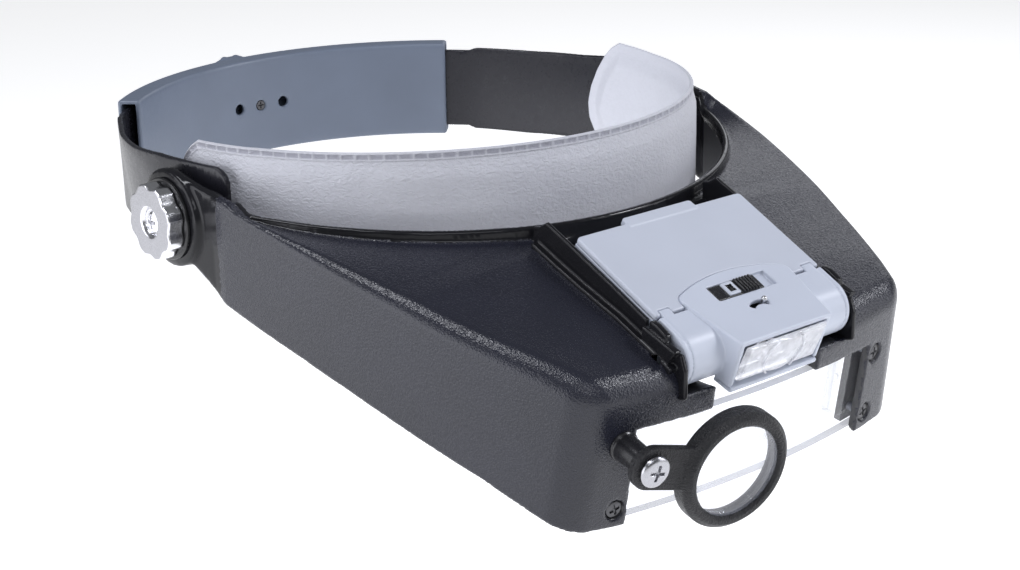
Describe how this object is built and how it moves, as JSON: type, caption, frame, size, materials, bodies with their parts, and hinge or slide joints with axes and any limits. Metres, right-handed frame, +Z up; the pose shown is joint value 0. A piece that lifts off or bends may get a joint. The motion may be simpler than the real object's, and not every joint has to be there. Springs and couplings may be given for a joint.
{
  "type": "head visor magnifier",
  "caption": "Head-band visor magnifier with a hood-shaped visor, clip-in light box, swing-down lens, side loupe and knob-adjusted band.",
  "frame": {"origin": "centre of the head opening, on the axis of the band, at the band's mid height", "axes": "+Z up along the axis of the head opening, -Y towards the front of the visor, +Y towards the back of the head with the size knob, -X the wearer's right where the loupe is"},
  "size_m": [0.198, 0.2626, 0.0852],
  "materials": {
    "sleeve_plastic": "satin blue-gray moulded plastic",
    "strap_plastic": "satin black moulded plastic",
    "black_plastic": "smooth black moulded plastic",
    "visor_plastic": "black moulded plastic with leather grain",
    "white_plastic": "natural moulded plastic",
    "box_plastic": "light blue-gray satin moulded plastic",
    "pad_leatherette": "light gray leatherette over foam",
    "ring_rubber": "glossy black rubber",
    "screw_steel": "plated steel",
    "black_steel": "black oxide steel",
    "knob_chrome": "bright plating",
    "reflector_chrome": "mirror plated plastic",
    "clear_acrylic": "clear moulded acrylic",
    "lamp_glass": "clear epoxy lamp",
    "cell_steel": "printed steel can, plain",
    "contact_steel": "nickel plated spring steel"
  },
  "bodies": {
    "head_band": {"rear_sleeve": "sleeve_plastic", "size_spring_washer": "screw_steel"},
    "size_knob": {"size_knob": "sleeve_plastic", "size_pinion": "white_plastic", "size_knob_screw": "screw_steel"},
    "left_strap": {"left_strap": "strap_plastic"},
    "right_strap": {"right_strap": "strap_plastic"},
    "front": {"front_band": "black_plastic", "sweat_pad": "pad_leatherette", "pivot_bolts": "screw_steel", "pivot_washers": "black_plastic", "friction_rings": "ring_rubber"},
    "left_knob": {"left_knob": "knob_chrome", "left_knob_screw": "knob_chrome"},
    "right_knob": {"right_knob": "knob_chrome", "right_knob_screw": "knob_chrome"},
    "visor": {"visor_shell": "visor_plastic", "main_lens": "clear_acrylic", "lens_screws": "black_steel", "lens_clamps": "black_plastic", "loupe_post": "black_plastic"},
    "flip_lens": {"flip_lens": "clear_acrylic", "flip_frame": "black_plastic"},
    "loupe": {"loupe_ring": "visor_plastic", "loupe_lens": "clear_acrylic", "loupe_screw": "knob_chrome", "loupe_washer": "screw_steel"},
    "light_box": {"lamp_case": "box_plastic", "lamp_hood": "box_plastic", "lamp_sole": "box_plastic", "lamp_window": "clear_acrylic", "switch_body": "black_plastic", "battery_cells": "cell_steel", "battery_contacts": "contact_steel", "battery_springs": "contact_steel"},
    "battery_cover": {"battery_cover": "box_plastic"},
    "switch": {"switch_slider": "black_plastic"},
    "lamp": {"aim_lever": "screw_steel", "lamp_reflector": "reflector_chrome", "lamp_led": "lamp_glass"}
  },
  "joints": [
    {"name": "size_adjust", "type": "slide", "parent": "head_band", "child": "front", "axis": [0, -1, 0], "range_m": [0, 0.0045]},
    {"name": "size_knob_turn", "type": "hinge", "parent": "head_band", "child": "size_knob", "pos_m": [0, 0.09, 0], "axis": [0, 1, 0], "range_deg": [-53, 0]},
    {"name": "left_strap_slide", "type": "hinge", "parent": "head_band", "child": "left_strap", "pos_m": [0, 0, 0], "axis": [0, 0, 1], "range_deg": [0, 3]},
    {"name": "right_strap_slide", "type": "hinge", "parent": "head_band", "child": "right_strap", "pos_m": [0, 0, 0], "axis": [0, 0, 1], "range_deg": [-3.1, 0]},
    {"name": "visor_tilt", "type": "hinge", "parent": "front", "child": "visor", "pos_m": [0, -0.01, 0.0015], "axis": [-1, 0, 0], "range_deg": [0, 70]},
    {"name": "left_knob_turn", "type": "hinge", "parent": "front", "child": "left_knob", "pos_m": [-0.096, -0.01, 0.0015], "axis": [-1, 0, 0], "continuous": true},
    {"name": "right_knob_turn", "type": "hinge", "parent": "front", "child": "right_knob", "pos_m": [0.096, -0.01, 0.0015], "axis": [1, 0, 0], "continuous": true},
    {"name": "loupe_swing", "type": "hinge", "parent": "visor", "child": "loupe", "pos_m": [-0.04838, -0.14965, -0.03821], "axis": [-0.1424, -0.9783, -0.1506], "continuous": true},
    {"name": "flip_lens_swing", "type": "hinge", "parent": "visor", "child": "flip_lens", "pos_m": [0, -0.13165, -0.03524], "axis": [1, 0, 0], "range_deg": [0, 95]},
    {"name": "light_box_lift", "type": "hinge", "parent": "visor", "child": "light_box", "pos_m": [0, -0.1375, -0.0193], "axis": [1, 0, 0], "range_deg": [0, 35]},
    {"name": "battery_cover_open", "type": "hinge", "parent": "light_box", "child": "battery_cover", "pos_m": [0, -0.13254, -0.00959], "axis": [1, 0, 0], "range_deg": [0, 95]},
    {"name": "switch_slide", "type": "slide", "parent": "light_box", "child": "switch", "axis": [1, 0, 0], "range_m": [0, 0.004]},
    {"name": "lamp_aim", "type": "hinge", "parent": "light_box", "child": "lamp", "pos_m": [0, -0.14022, -0.02057], "axis": [0, -0.4226, 0.9063], "range_deg": [-12, 55]}
  ],
  "couplings": [
    {"joint": "size_knob_turn", "follows": "size_adjust", "rad_per_m": -202.6},
    {"joint": "left_strap_slide", "follows": "size_adjust", "rad_per_m": 11.416},
    {"joint": "right_strap_slide", "follows": "size_adjust", "rad_per_m": -11.61}
  ]
}
